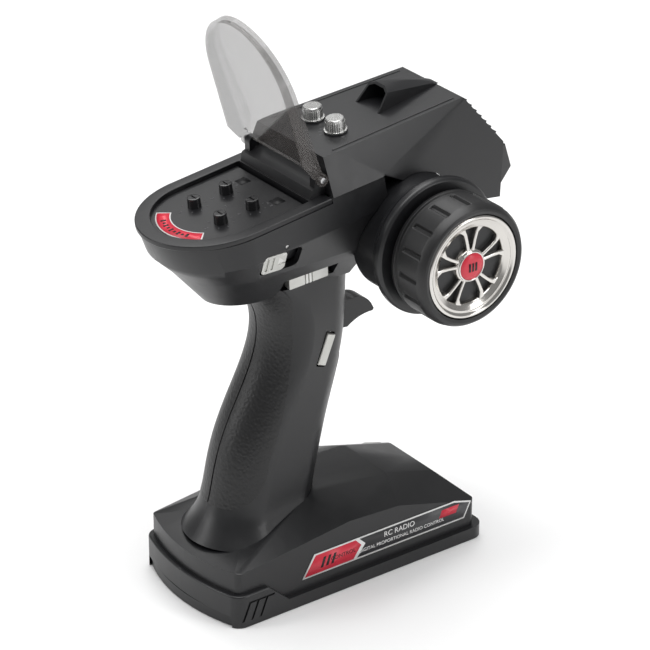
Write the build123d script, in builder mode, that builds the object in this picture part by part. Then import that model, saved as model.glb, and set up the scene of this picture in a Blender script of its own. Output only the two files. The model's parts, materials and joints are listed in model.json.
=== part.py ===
from build123d import *

import os
from math import atan, cos, degrees, pi, radians, sin

# Pistol-grip radio transmitter: battery base, grip, head with steering wheel, control pan under a lid.
# Origin: centre of the base underside.  +Z up, +Y towards the nose, +X towards the steering wheel.
# All lengths in millimetres.

# ---- general ----
WALL = 2.2
GAP = 0.35
RUNNING = 0.05
FAR = 400.0

# ---- base ----
TRAY_HALF_WIDTH = 33.0
TRAY_FRONT = 62.9
TRAY_REAR = -62.9
TRAY_BOW = 5.6
TRAY_CORNER = 6.0
TRAY_HEIGHT = 5.5
TRAY_REAR_HEIGHT = 14.5
TRAY_STEP_TOP = -48.0
TRAY_STEP_FOOT = -38.0
GROOVE_START = -61.0
GROOVE_PITCH = 4.2
GROOVE_DEPTH = 0.7
BASE_HALF_WIDTH = 30.7
BASE_FRONT = 59.0
BASE_REAR = -61.2
BASE_BOW = 5.2
BASE_TOP = 37.0
FLOOR = 4.2

# ---- battery bay and door ----
CELL_RADIUS = 7.1
CELL_LENGTH = 49.5
CELL_PITCH = 14.9
CELL_COUNT = 4
CELL_HEIGHT = 10.6
BAY_HALF_WIDTH = 28.2
BAY_HALF_LENGTH = 31.4
BAY_TOP = 19.0
DOOR_HALF_WIDTH = 29.4
DOOR_FRONT = 34.0
DOOR_THICKNESS = 2.2
DOOR_LIP = 4.6
DOOR_LIP_FRONT = -61.0

# ---- grip: height, centre, half depth, half width ----
GRIP_SECTIONS = (
    (26.0, -33.6, 29.0, 24.0),
    (29.5, -33.4, 26.8, 20.6),
    (34.0, -32.2, 25.0, 17.9),
    (42.0, -29.6, 24.1, 16.6),
    (60.0, -25.5, 23.9, 16.4),
    (80.0, -18.5, 22.4, 16.2),
    (105.0, -10.2, 19.9, 16.0),
    (120.0, -10.0, 20.6, 16.0),
    (134.0, -14.5, 25.5, 16.4),
    (150.0, -18.5, 31.0, 17.5),
)
GRIP_NOSE = 10.5
GRIP_TAPER = 2.5

# ---- head ----
RIM_SLOPE = 0.125
RIM_HEIGHT = 175.8
RIM_HALF_WIDTH = 28.5
RIM_REAR_CENTRE = -50.0
RIM_FRONT = 11.4
CREASE_FRONT = 13.4
CREASE_HEIGHT = 163.0
HEAD_FLOOR = 146.5
HEAD_FLOOR_HALF_WIDTH = 24.0
NOSE_FLOOR = 148.6
NOSE_HALF_WIDTH = 21.4
HOOD_START = (11.5, 178.3)
HOOD_KNEE = (62.0, 151.0)
HOOD_END = (75.0, 148.4)

# ---- deck ----
DECK_HEIGHT = 190.0
DECK_SLOPE = 0.092
DECK_REAR = -13.0
DECK_FRONT = (57.5, 194.6)
BROW_FOOT = (78.5, 170.6)

# ---- control pan ----
PAN_DEPTH = 5.3
PAN_HALF_WIDTH = 23.4
PAN_FRONT = -21.0
PANEL_THICKNESS = 2.0

# ---- lid ----
LID_AXIS_Y = -15.6
LID_AXIS_Z = 181.0
LID_HALF_WIDTH = 25.6
LID_LENGTH = 66.5
LID_REST_ANGLE = 81.4
LID_ROOF_FALL = 3.4
LID_THICKNESS = 1.3
LID_TIP_DEPTH = 27.5
LID_PIN_RADIUS = 1.2

# ---- steering wheel ----
WHEEL_Y = 26.6
WHEEL_Z = 147.8
WHEEL_FACE = 66.0
TYRE_RADIUS = 25.6
TYRE_WIDTH = 21.0
RIM_RADIUS = 21.5
BOSS_RADIUS = 25.0
FLANGE_RADIUS = 28.5
FLANGE_FACE = 43.4
FLANGE_THICKNESS = 4.6
SHAFT_RADIUS = 3.0

TILT = degrees(atan(RIM_SLOPE))
DECK_TILT = degrees(atan(DECK_SLOPE))


def rim_z(y):
    """Height of the tilted rim plane of the head at y."""
    return RIM_HEIGHT + RIM_SLOPE * y


def deck_z(y):
    """Height of the tilted deck at y."""
    return DECK_HEIGHT + DECK_SLOPE * y


def tilted_plane(y, z, tilt, x=0.0):
    """Plane through (x, y, z) whose normal leans back by tilt degrees, local X along +X."""
    return Plane(origin=(x, y, z), x_dir=(1, 0, 0), z_dir=(0, -sin(radians(tilt)), cos(radians(tilt))))


def cut_facet(point, normal):
    """Cuts the current part flat along a plane, keeping the side away from the normal."""
    split(bisect_by=Plane(origin=point, z_dir=normal), keep=Keep.BOTTOM)


def facet_normal(a, b, c):
    """Upward normal of the plane through three points."""
    normal = (Vector(*b) - Vector(*a)).cross(Vector(*c) - Vector(*a))
    return normal if normal.Z > 0 else normal * -1


def bowed_outline(half_width, front, rear, bow, corner):
    """Plan outline with straight sides and front and a rear edge bowed outwards."""
    with BuildSketch() as outline:
        with BuildLine():
            Polyline((half_width, rear), (half_width, front), (-half_width, front), (-half_width, rear))
            ThreePointArc((-half_width, rear), (0, rear - bow), (half_width, rear))
        make_face()
        if corner > 0:
            fillet(outline.vertices(), corner)
    return outline.sketch


def base_body(inset, floor):
    """Facetted upper base standing on a floor height, shrunk by inset on every other side."""
    with BuildPart() as body:
        with BuildSketch(Plane.XY.offset(floor)):
            add(bowed_outline(BASE_HALF_WIDTH - inset, BASE_FRONT - inset, BASE_REAR + inset, BASE_BOW, 3.0))
        extrude(amount=BASE_TOP + 5)
        shoulder = BASE_HALF_WIDTH
        facets = [
            ((0, -12, 37.0), (13, -12, 37.0), (0, -62, 24.2)),
            ((0, -12, 37.0), (13, -12, 37.0), (0, 25, 34.0)),
            ((0, 25, 34.0), (13, 25, 34.0), (0, 49, 27.0)),
            ((0, 49, 27.0), (13, 49, 27.0), (0, 59, 17.4)),
        ]
        for side in (1, -1):
            facets.append(((13 * side, -12, 37), (shoulder * side, -6, 29.5), (shoulder * side, -62, 23.4)))
            facets.append(((13 * side, -12, 37), (shoulder * side, -6, 29.5), (shoulder * side, 19, 28)))
            facets.append(((14 * side, 25, 34), (shoulder * side, 19, 28), (shoulder * side, 59, 16.6)))
        for a, b, c in facets:
            normal = facet_normal(a, b, c).normalized()
            cut_facet(Vector(*a) - normal * inset, normal)
    return body.part


def tray_body():
    """Skirt under the base: thin flange along the sides, taller round the rear."""
    with BuildPart() as body:
        with BuildSketch(Plane.XY):
            add(bowed_outline(TRAY_HALF_WIDTH, TRAY_FRONT, TRAY_REAR, TRAY_BOW, TRAY_CORNER))
        extrude(amount=TRAY_REAR_HEIGHT)
        with BuildSketch(Plane.YZ.offset(-FAR / 2)):
            with BuildLine():
                Polyline(
                    (TRAY_STEP_TOP, TRAY_REAR_HEIGHT + 1),
                    (TRAY_STEP_TOP, TRAY_REAR_HEIGHT),
                    (TRAY_STEP_FOOT, TRAY_HEIGHT),
                    (FAR / 4, TRAY_HEIGHT),
                    (FAR / 4, TRAY_REAR_HEIGHT + 1),
                    close=True,
                )
            make_face()
        extrude(amount=FAR, mode=Mode.SUBTRACT)
        fillet(body.edges().group_by(Axis.Z)[-1], 0.9)
        # three hooked grooves on each flank, by the rear corner
        for side in (1, -1):
            groove_start = TRAY_HALF_WIDTH - GROOVE_DEPTH if side > 0 else GROOVE_DEPTH - TRAY_HALF_WIDTH - 2.0
            with BuildSketch(Plane.YZ.offset(groove_start)):
                for index in range(3):
                    y = GROOVE_START + GROOVE_PITCH * index
                    with BuildLine():
                        Polyline((y, 2.6), (y + 1.0, 2.6), (y + 4.2, 10.4), (y + 7.4, 10.4), (y + 7.4, 11.3),
                                 (y + 3.5, 11.3), close=True)
                    make_face()
            extrude(amount=2.0, mode=Mode.SUBTRACT)
    return body.part


def grip_outline(centre, half_depth, half_width):
    """Section of the grip: round back, flat flanks that close in, rounded nose."""
    nose_half = half_width - GRIP_TAPER
    back_centre = centre - half_depth + half_width
    nose_start = centre + half_depth - GRIP_NOSE
    with BuildSketch() as outline:
        with BuildLine():
            ThreePointArc((half_width, back_centre), (0, centre - half_depth), (-half_width, back_centre))
            Line((-half_width, back_centre), (-nose_half, nose_start))
            ThreePointArc((-nose_half, nose_start), (0, centre + half_depth), (nose_half, nose_start))
            Line((nose_half, nose_start), (half_width, back_centre))
        make_face()
    return outline.sketch


def grip_body(inset, sections):
    """Lofted grip, shrunk by inset on every side (grown where inset is negative)."""
    with BuildPart() as body:
        for height, centre, half_depth, half_width in sections:
            with BuildSketch(Plane.XY.offset(height)):
                add(grip_outline(centre, half_depth - inset, half_width - inset))
        loft()
    return body.part


def head_outline(half_width, front, rear_centre, rear_depth):
    """Plan of the head: straight front and flanks, half-ellipse at the rear."""
    with BuildSketch() as outline:
        with BuildLine():
            Polyline(
                (half_width, rear_centre),
                (half_width, front),
                (-half_width, front),
                (-half_width, rear_centre),
            )
            EllipticalCenterArc((0, rear_centre), half_width, rear_depth, start_angle=180, arc_size=180)
        make_face()
    return outline.sketch


def head_body(inset):
    """Lower head housing between keel and rim, shrunk by inset."""
    with BuildPart() as body:
        with BuildSketch(Plane.XY.offset(131.0 + inset)):
            add(head_outline(13.5 - inset, 6.0 - inset, -36.0, 18.0 - inset))
        with BuildSketch(Plane.XY.offset(HEAD_FLOOR + inset)):
            add(head_outline(HEAD_FLOOR_HALF_WIDTH - inset, 9.6 - inset, -45.0, 22.5 - inset))
        loft(ruled=True)
        with BuildSketch(Plane.XY.offset(HEAD_FLOOR + inset)):
            add(head_outline(HEAD_FLOOR_HALF_WIDTH - inset, 9.6 - inset, -45.0, 22.5 - inset))
        with BuildSketch(tilted_plane(0, CREASE_HEIGHT, TILT)):
            add(head_outline(29.6 - inset, CREASE_FRONT - inset, -48.0, 27.6 - inset))
        loft(ruled=True)
        with BuildSketch(tilted_plane(0, CREASE_HEIGHT, TILT)):
            add(head_outline(29.6 - inset, CREASE_FRONT - inset, -48.0, 27.6 - inset))
        with BuildSketch(tilted_plane(0, RIM_HEIGHT, TILT)):
            add(head_outline(RIM_HALF_WIDTH - inset, RIM_FRONT - inset, RIM_REAR_CENTRE, 30.6 - inset))
        loft(ruled=True)
    return body.part


def cover_body(inset):
    """Faceted upper head housing above the parting line, shrunk by inset except at its open underside."""
    with BuildPart() as body:
        with BuildSketch(Plane.XY.offset(NOSE_FLOOR - 2)):
            with Locations((0, 30)):
                Rectangle(2 * FLANGE_RADIUS + 10, 120)
        extrude(amount=60)
        brow = Vector(0, DECK_FRONT[1] - BROW_FOOT[1], BROW_FOOT[0] - DECK_FRONT[0]).normalized()
        nose = Vector(0, BROW_FOOT[1] - HOOD_END[1], HOOD_END[0] - BROW_FOOT[0]).normalized()
        facets = [
            ((0, 0, DECK_HEIGHT), Vector(0, -DECK_SLOPE, 1).normalized()),
            ((0, DECK_REAR, DECK_HEIGHT), Vector(0, -1, 0)),
            ((0, *DECK_FRONT), brow),
            ((0, *BROW_FOOT), nose),
        ]
        for side in (1, -1):
            facets.append(((22 * side, -6, 189.7), Vector(0.900 * side, -0.081, 0.429).normalized()))
            facets.append(((22 * side, -6, 189.7), Vector(0.858 * side, -0.009, 0.513).normalized()))
            facets.append(((29 * side, 11.5, 178.3), Vector(0.982 * side, 0.155, 0.107).normalized()))
        for point, normal in facets:
            cut_facet(Vector(*point) - normal * inset, normal)
        with BuildSketch(Plane.YZ.offset(-FAR / 2)):
            with BuildLine():
                Polyline(
                    (-FAR / 8, rim_z(-FAR / 8)),
                    (HOOD_START[0], rim_z(HOOD_START[0])),
                    HOOD_KNEE,
                    HOOD_END,
                    (FAR / 4, HOOD_END[1]),
                    (FAR / 4, 0),
                    (-FAR / 8, 0),
                    close=True,
                )
            make_face()
        extrude(amount=FAR, mode=Mode.SUBTRACT)
    return body.part


def nose_body(inset, front_foot, front_top):
    """Lower front of the head, under the hood; front_foot and front_top are its two front corners."""
    with BuildPart() as body:
        with BuildSketch(Plane.YZ.offset(inset - NOSE_HALF_WIDTH)):
            with BuildLine():
                Polyline(
                    (0, HEAD_FLOOR + inset),
                    (0, rim_z(0) + 2 * inset),
                    (HOOD_START[0], rim_z(HOOD_START[0]) + 2 * inset),
                    front_top,
                    front_foot,
                    close=True,
                )
            make_face()
        extrude(amount=2 * (NOSE_HALF_WIDTH - inset))
    return body.part


def pan_sketch(half_width, rear_depth, front):
    """Outline of the control pan and of the lid above it, in the tilted plane of the rim."""
    return head_outline(half_width, front, RIM_REAR_CENTRE, rear_depth)


def yz_cylinder(y, z, radius, start, end):
    """Cylinder along X between two stations."""
    with BuildPart() as rod:
        with BuildSketch(Plane.YZ.offset(start)):
            with Locations((y, z)):
                Circle(radius)
        extrude(amount=end - start)
    return rod.part


# =====================================================================
# Housing: outer form, hollow inside, then split at X = 0
# =====================================================================
PANEL_SEAM = -13.3
SCREW_PLACES = ((-54.5, 9.5), (49.0, 9.5), (-29.0, 52.0), (-16.0, 92.0), (-60.0, 153.5), (-6.0, 159.0))
SCREW_BOSS_RADIUS = 3.2
BOSS_INSET = 0.4
SCREW_RADIUS = 1.2
SCREW_HEAD_RADIUS = 2.3
TRIGGER_AXIS = (2.0, 123.0)
TRIGGER_HALF_WIDTH = 3.9
SLOT_HALF_WIDTH = 4.5
BUTTON_CENTRE = (-6.3, 101.0)
BUTTON_LEAN = 22.0
BUTTON_SIZE = (13.6, 4.2)
AUX_CENTRE = (-16.8, 137.2)
AUX_SIZE = (18.6, 5.0)
AUX_TRAVEL = 3.0
AUX_LEAN = 3.0
POWER_CENTRE = (26.55, -37.0, 154.0)
POWER_SLOT = (18.6, 10.4)
POWER_LEVER = (10.8, 8.8)
KNOB_PLACES = ((-8.9, -51.4), (8.9, -51.4), (-8.9, -36.5), (8.9, -36.5))
SWITCH_PLACES = ((-11.5, -26.6), (11.5, -26.6))
DIAL_PLACES = ((-7.4, 3.7), (7.4, 3.7))

power_plane = Plane(origin=POWER_CENTRE, x_dir=(0, 1, 0), z_dir=(0.947, 0, -0.321))
button_plane = Plane(
    origin=(0, *BUTTON_CENTRE),
    x_dir=(0, sin(radians(BUTTON_LEAN)), cos(radians(BUTTON_LEAN))),
    z_dir=(1, 0, 0),
)
aux_plane = Plane(origin=(0, *AUX_CENTRE), x_dir=(0, cos(radians(AUX_LEAN)), sin(radians(AUX_LEAN))),
                  z_dir=(1, 0, 0))


def pan_plane(x, y):
    """Plane on the floor of the control pan at (x, y), normal out of the pan."""
    return tilted_plane(y, rim_z(y) - PAN_DEPTH / cos(radians(TILT)), TILT, x)


def deck_plane(x, y):
    """Plane on the deck at (x, y), normal out of the deck."""
    return tilted_plane(y, deck_z(y), DECK_TILT, x)


with BuildPart() as housing:
    add(base_body(0.0, 0.0))
    add(tray_body())
    add(grip_body(0.0, GRIP_SECTIONS))
    add(head_body(0.0))
    add(nose_body(0.0, (58.0, HEAD_FLOOR), (66.0, 149.0)))
    # hollow inside, in connected rooms
    add(base_body(WALL, FLOOR), mode=Mode.SUBTRACT)
    add(grip_body(WALL, GRIP_SECTIONS), mode=Mode.SUBTRACT)
    add(head_body(WALL), mode=Mode.SUBTRACT)
    add(nose_body(WALL, (54.0, HEAD_FLOOR + WALL), (56.0, 156.0)), mode=Mode.SUBTRACT)
    # room for the control panel tub, which closes the rear of the head
    with BuildSketch(tilted_plane(0, RIM_HEIGHT - WALL / cos(radians(TILT)), TILT)):
        with Locations((0, PANEL_SEAM - FAR / 2)):
            Rectangle(FAR, FAR)
    extrude(amount=20, mode=Mode.SUBTRACT)
    # the battery door lies flush in the underside and wraps the foot of the rear face
    with BuildSketch(Plane.XY):
        with Locations((0, DOOR_FRONT + GAP - FAR / 2)):
            Rectangle(2 * (DOOR_HALF_WIDTH + GAP), FAR)
    extrude(amount=DOOR_THICKNESS + GAP, mode=Mode.SUBTRACT)
    with BuildSketch(Plane.XY):
        with Locations((0, DOOR_LIP_FRONT + GAP - FAR / 2)):
            Rectangle(2 * (DOOR_HALF_WIDTH + GAP), FAR)
    extrude(amount=DOOR_LIP + GAP, mode=Mode.SUBTRACT)
    # opening in the floor for the battery box
    with BuildSketch(Plane.XY):
        Rectangle(2 * (BAY_HALF_WIDTH + GAP), 2 * (BAY_HALF_LENGTH + GAP))
    extrude(amount=FLOOR + 1.0, mode=Mode.SUBTRACT)
    # slot for the trigger in the front of the neck
    with BuildSketch(Plane.XZ.offset(-20.0)):
        with Locations((0, 108.0)):
            Rectangle(2 * SLOT_HALF_WIDTH, 25.0)
    extrude(amount=18.0, mode=Mode.SUBTRACT)

with BuildPart() as solid_form:
    add(base_body(BOSS_INSET, BOSS_INSET))
    add(grip_body(BOSS_INSET, GRIP_SECTIONS))
    add(head_body(BOSS_INSET))
    add(nose_body(BOSS_INSET, (57.0, HEAD_FLOOR + BOSS_INSET), (62.0, 150.4)))

with BuildPart() as screw_bosses:
    for y, z in SCREW_PLACES:
        add(yz_cylinder(y, z, SCREW_BOSS_RADIUS, -FLANGE_RADIUS - 4, FLANGE_RADIUS + 4))
    add(solid_form.part, mode=Mode.INTERSECT)

# Grip coverings: each fills a shallow pocket in the housing and stands a little proud of it
PAD_DEPTH = 1.1
PAD_PROUD = 0.35
PAD_SECTIONS = GRIP_SECTIONS[2:]
STRIP_HALF_WIDTH = 8.0

with BuildPart() as grip_skin:
    add(grip_body(-PAD_PROUD, PAD_SECTIONS))
    add(grip_body(PAD_DEPTH, PAD_SECTIONS), mode=Mode.SUBTRACT)


def pad_outline():
    """Side view of a grip pad: it wraps the back and ends along a curve down the flank."""
    with BuildSketch() as outline:
        with BuildLine():
            Polyline((-80, 40.5), (-80, 137.0), (-37.0, 137.0))
            ThreePointArc((-37.0, 137.0), (-26.5, 132.0), (-22.4, 119.0))
            Line((-22.4, 119.0), (-22.0, 108.0))
            ThreePointArc((-22.0, 108.0), (-27.4, 82.5), (-36.0, 59.0))
            ThreePointArc((-36.0, 59.0), (-43.0, 44.5), (-51.0, 40.5))
            Line((-51.0, 40.5), (-80, 40.5))
        make_face()
    return outline.sketch


with BuildPart() as pad_region:
    with BuildSketch(Plane.YZ.offset(0.35)):
        add(pad_outline())
    extrude(amount=30)

with BuildPart() as strip_region:
    with BuildSketch(Plane.XZ.offset(-20.0)):
        with Locations((0, 64.0)):
            RectangleRounded(2 * STRIP_HALF_WIDTH, 60.0, 4.0)
    extrude(amount=40.0)

with BuildPart() as grip_pad_right:
    add(grip_skin.part)
    add(pad_region.part, mode=Mode.INTERSECT)

with BuildPart() as finger_strip:
    add(grip_skin.part)
    add(strip_region.part, mode=Mode.INTERSECT)

with BuildPart() as grip_pad_left:
    add(mirror(grip_pad_right.part, about=Plane.YZ, mode=Mode.PRIVATE))

# ---------------------------------------------------------------------
# Openings in the flanks
# ---------------------------------------------------------------------
AUX_OUTER = 17.6
BUTTON_OUTER = 15.3

with BuildPart() as power_opening:
    with BuildSketch(power_plane.offset(-4.0)):
        RectangleRounded(*POWER_SLOT, 2.6)
    extrude(amount=8.0)

with BuildPart() as button_opening:
    with BuildSketch(button_plane.offset(8.0)):
        RectangleRounded(BUTTON_SIZE[0] + 1.4, BUTTON_SIZE[1] + 1.2, 0.8)
    extrude(amount=12.0)

with BuildPart() as aux_opening:
    with BuildSketch(aux_plane.offset(8.0)):
        RectangleRounded(AUX_SIZE[0] + 2 * AUX_TRAVEL + 0.8, AUX_SIZE[1] + 0.8, 0.6)
    extrude(amount=14.0)

with BuildPart() as axle_opening:
    add(yz_cylinder(WHEEL_Y, WHEEL_Z, 9.0, 15.0, 40.0))

with BuildPart() as led_opening:
    with BuildSketch(power_plane.offset(-3.0)):
        with Locations((1.6, 6.6)):
            Circle(0.8)
    extrude(amount=6.0)

# ---------------------------------------------------------------------
# Housing halves
# ---------------------------------------------------------------------
with BuildPart() as right_shell:
    add(housing.part)
    add(screw_bosses.part)
    split(bisect_by=Plane.YZ, keep=Keep.TOP)
    side_openings = (power_opening, button_opening, aux_opening, axle_opening, led_opening)
    for cut in (grip_pad_right, finger_strip, *side_openings):
        add(cut.part, mode=Mode.SUBTRACT)
    for y, z in SCREW_PLACES:
        add(yz_cylinder(y, z, SCREW_RADIUS, 0, 8.0), mode=Mode.SUBTRACT)

with BuildPart() as left_shell:
    add(housing.part)
    add(screw_bosses.part)
    split(bisect_by=Plane.YZ, keep=Keep.BOTTOM)
    for cut in (grip_pad_left, finger_strip):
        add(cut.part, mode=Mode.SUBTRACT)
    for y, z in SCREW_PLACES:
        add(yz_cylinder(y, z, SCREW_RADIUS, -FAR / 8, 0), mode=Mode.SUBTRACT)
        add(yz_cylinder(y, z, SCREW_HEAD_RADIUS, -FAR / 8, -8.0), mode=Mode.SUBTRACT)

with BuildPart() as shell_screws:
    for y, z in SCREW_PLACES:
        add(yz_cylinder(y, z, SCREW_RADIUS, -8.0, 8.0))
        add(yz_cylinder(y, z, SCREW_HEAD_RADIUS - 0.1, -9.6, -8.0))

# ---------------------------------------------------------------------
# Ribbed brow of the nose
# ---------------------------------------------------------------------
RIB_COUNT = 7
RIB_PITCH = 3.9
RIB_HALF_WIDTH = 17.0
BEZEL_HALF_WIDTH = 18.6

brow_down = Vector(0, BROW_FOOT[0] - DECK_FRONT[0], BROW_FOOT[1] - DECK_FRONT[1]).normalized()
brow_out = Vector(0, -brow_down.Z, brow_down.Y)

with BuildPart() as brow_ribs:
    for index in range(RIB_COUNT):
        start = Vector(0, *DECK_FRONT) + brow_down * (1.6 + RIB_PITCH * index)
        crest = start + brow_down * (RIB_PITCH - 1.4) + brow_out * 1.3
        foot = start + brow_down * (RIB_PITCH - 0.9)
        with BuildSketch(Plane.YZ.offset(-RIB_HALF_WIDTH)):
            with BuildLine():
                Polyline((start.Y, start.Z), (crest.Y, crest.Z), (foot.Y, foot.Z), close=True)
            make_face()
        extrude(amount=2 * RIB_HALF_WIDTH)

# ---------------------------------------------------------------------
# Top cover: faceted hood, hinge bridge and scoop
# ---------------------------------------------------------------------
SCOOP_MOUTH = 24.4
SCOOP_HALF_WIDTH = 7.6
SCOOP_TOP_HALF_WIDTH = 2.8
SCOOP_CREST = (31.0, 201.0)
SCOOP_SHOULDER = (6.2, 30.0, 199.4)
SCOOP_TIP = 58.0
SCOOP_WALL = 0.9
SCOOP_RECESS_END = 40.0
BRIDGE_HALF_WIDTH = 23.2
LUG_INNER = 20.0
LUG_RADIUS = 2.5
PIN_START = LUG_INNER + 0.6
DIAL_SHAFT_RADIUS = 1.5


def scoop_body(inset):
    """Arched air scoop standing on the deck, shrunk by inset and run out past its mouth."""
    mouth = SCOOP_MOUTH - 2 * inset
    tip = (SCOOP_TIP - inset, deck_z(SCOOP_TIP - inset))
    crest = (SCOOP_CREST[0] - 2 * inset, SCOOP_CREST[1] - inset)
    with BuildPart() as body:
        with BuildSketch(Plane.YZ.offset(-SCOOP_HALF_WIDTH - 2)):
            with BuildLine():
                Polyline(tip, (mouth, deck_z(mouth)), crest)
                ThreePointArc(crest, (43.0, 199.6 - inset), tip)
            make_face()
        extrude(amount=2 * SCOOP_HALF_WIDTH + 4)
        for side in (1, -1):
            foot = (SCOOP_HALF_WIDTH * side, SCOOP_MOUTH, deck_z(SCOOP_MOUTH))
            shoulder = (SCOOP_SHOULDER[0] * side, *SCOOP_SHOULDER[1:])
            flank = facet_normal(foot, shoulder, (2.6 * side, SCOOP_TIP, deck_z(SCOOP_TIP))).normalized()
            cut_facet(Vector(*foot) - flank * inset, flank)
            top_edge = (SCOOP_TOP_HALF_WIDTH * side, *SCOOP_CREST)
            slant = facet_normal(shoulder, top_edge, (1.6 * side, SCOOP_TIP, 196.4)).normalized()
            cut_facet(Vector(*shoulder) - slant * inset, slant)
    return body.part


with BuildPart() as scoop_recess:
    add(scoop_body(SCOOP_WALL))
    split(bisect_by=Plane.XZ.offset(-SCOOP_RECESS_END), keep=Keep.TOP)

with BuildPart() as top_cover:
    add(cover_body(0.0))
    add(cover_body(WALL), mode=Mode.SUBTRACT)
    add(scoop_body(0.0))
    add(scoop_recess.part, mode=Mode.SUBTRACT)
    add(brow_ribs.part)
    # the wheel's mount passes through the skirt of the hood
    add(yz_cylinder(WHEEL_Y, WHEEL_Z, BOSS_RADIUS + 0.15, NOSE_HALF_WIDTH, FAR / 4), mode=Mode.SUBTRACT)
    # bridge under the lid's hinge, closing the rear of the hood
    with BuildSketch(Plane.YZ.offset(-BRIDGE_HALF_WIDTH)):
        with BuildLine():
            Polyline(
                (DECK_REAR + 0.5, rim_z(DECK_REAR + 0.5) + 0.02),
                (DECK_REAR + 0.5, 180.2),
                (-13.6, 179.2),
                (-19.4, 177.0),
                (-20.2, rim_z(-20.2) + 0.02),
                close=True,
            )
        make_face()
    extrude(amount=2 * BRIDGE_HALF_WIDTH)
    for side in (1, -1):
        add(yz_cylinder(LID_AXIS_Y, LID_AXIS_Z, LUG_RADIUS, min(side * LUG_INNER, side * BRIDGE_HALF_WIDTH),
                        max(side * LUG_INNER, side * BRIDGE_HALF_WIDTH)))
        with BuildSketch(Plane.YZ.offset(min(side * LUG_INNER, side * BRIDGE_HALF_WIDTH))):
            with BuildLine():
                Polyline(
                    (-18.0, 177.5), (-13.0, 178.5), (-13.0, 182.4), (LID_AXIS_Y, 183.4), (-18.0, 181.5), close=True
                )
            make_face()
        extrude(amount=BRIDGE_HALF_WIDTH - LUG_INNER)
    for start, end in ((-FLANGE_RADIUS, -PIN_START), (PIN_START, FLANGE_RADIUS)):
        add(yz_cylinder(LID_AXIS_Y, LID_AXIS_Z, LID_PIN_RADIUS, start, end), mode=Mode.SUBTRACT)
    # seats for the dials
    for x, y in DIAL_PLACES:
        with BuildSketch(deck_plane(x, y).offset(-WALL - 1.0)):
            Circle(DIAL_SHAFT_RADIUS + 1.0)
        extrude(amount=WALL + 4.0, mode=Mode.SUBTRACT)


# ---------------------------------------------------------------------
# Front bezel
# ---------------------------------------------------------------------
with BuildPart() as front_bezel:
    with BuildSketch(Plane.YZ.offset(-BEZEL_HALF_WIDTH)):
        with BuildLine():
            nose_slope = (BROW_FOOT[0] - HOOD_END[0]) / (BROW_FOOT[1] - HOOD_END[1])
            Polyline(
                (BROW_FOOT[0] - nose_slope * (BROW_FOOT[1] - 168.9), 168.9),
                (80.2, 168.9),
                (83.6, 158.3),
                (76.7, 149.6),
                (BROW_FOOT[0] - nose_slope * (BROW_FOOT[1] - 149.6), 149.6),
                close=True,
            )
        make_face()
    extrude(amount=2 * BEZEL_HALF_WIDTH)

# ---------------------------------------------------------------------
# Control panel: rim, well and floor of the rear of the head
# ---------------------------------------------------------------------
PANEL_LIP = WALL
PANEL_REAR_DEPTH = 30.6
WELL_WALL = 1.6
KNOB_SEAT_RADIUS = 1.6
SWITCH_SLOT = (7.0, 2.6)

with BuildPart() as control_panel:
    with BuildSketch(tilted_plane(0, RIM_HEIGHT - WALL / cos(radians(TILT)), TILT)):
        add(head_outline(RIM_HALF_WIDTH, PANEL_SEAM, RIM_REAR_CENTRE, PANEL_REAR_DEPTH))
    extrude(amount=PANEL_LIP)
    with BuildSketch(tilted_plane(0, RIM_HEIGHT, TILT)):
        add(pan_sketch(PAN_HALF_WIDTH + WELL_WALL, PAN_HALF_WIDTH + 1.0 + WELL_WALL, PAN_FRONT + WELL_WALL))
    extrude(amount=-PAN_DEPTH - PANEL_THICKNESS)
    with BuildSketch(tilted_plane(0, RIM_HEIGHT, TILT)):
        add(pan_sketch(PAN_HALF_WIDTH, PAN_HALF_WIDTH + 1.0, PAN_FRONT))
    extrude(amount=-PAN_DEPTH, mode=Mode.SUBTRACT)
    for x, y in KNOB_PLACES:
        with BuildSketch(pan_plane(x, y).offset(-PANEL_THICKNESS - 1)):
            Circle(KNOB_SEAT_RADIUS)
        extrude(amount=PANEL_THICKNESS + 2, mode=Mode.SUBTRACT)
    for x, y in SWITCH_PLACES:
        with BuildSketch(pan_plane(x, y).offset(-PANEL_THICKNESS - 1)):
            Rectangle(*SWITCH_SLOT)
        extrude(amount=PANEL_THICKNESS + 2, mode=Mode.SUBTRACT)

# ---------------------------------------------------------------------
# Small controls on the pan and the deck
# ---------------------------------------------------------------------
KNOB_HEIGHT = 7.5
KNOB_TOP_RADIUS = 2.5
KNOB_FOOT_RADIUS = 3.5
KNOB_FLUTES = 8
KNOB_SHAFT = 1.2
DIAL_RADIUS = 4.0
DIAL_HEIGHT = 5.0
DIAL_FLANGE = 4.7


def trim_knob(x, y):
    """Fluted knob that widens to its foot, bored for its shaft."""
    with BuildPart() as knob:
        with BuildSketch(pan_plane(x, y).offset(GAP)):
            Circle(KNOB_FOOT_RADIUS)
        with BuildSketch(pan_plane(x, y).offset(2.4)):
            Circle(KNOB_TOP_RADIUS + 0.3)
        loft(ruled=True)
        with BuildSketch(pan_plane(x, y).offset(2.4)):
            Circle(KNOB_TOP_RADIUS + 0.3)
        with BuildSketch(pan_plane(x, y).offset(KNOB_HEIGHT)):
            Circle(KNOB_TOP_RADIUS)
        loft(ruled=True)
        with BuildSketch(pan_plane(x, y).offset(GAP)):
            with PolarLocations(KNOB_FOOT_RADIUS + 0.1, KNOB_FLUTES):
                Circle(0.75)
        extrude(amount=KNOB_HEIGHT, mode=Mode.SUBTRACT)
        with BuildSketch(pan_plane(x, y).offset(GAP - 0.1)):
            Circle(KNOB_SHAFT + RUNNING)
        extrude(amount=KNOB_HEIGHT - 2.0, mode=Mode.SUBTRACT)
        with BuildSketch(pan_plane(x, y).offset(KNOB_HEIGHT - 0.5)):
            Rectangle(3.4, 0.7)
        extrude(amount=1.0, mode=Mode.SUBTRACT)
    return knob.part


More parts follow.
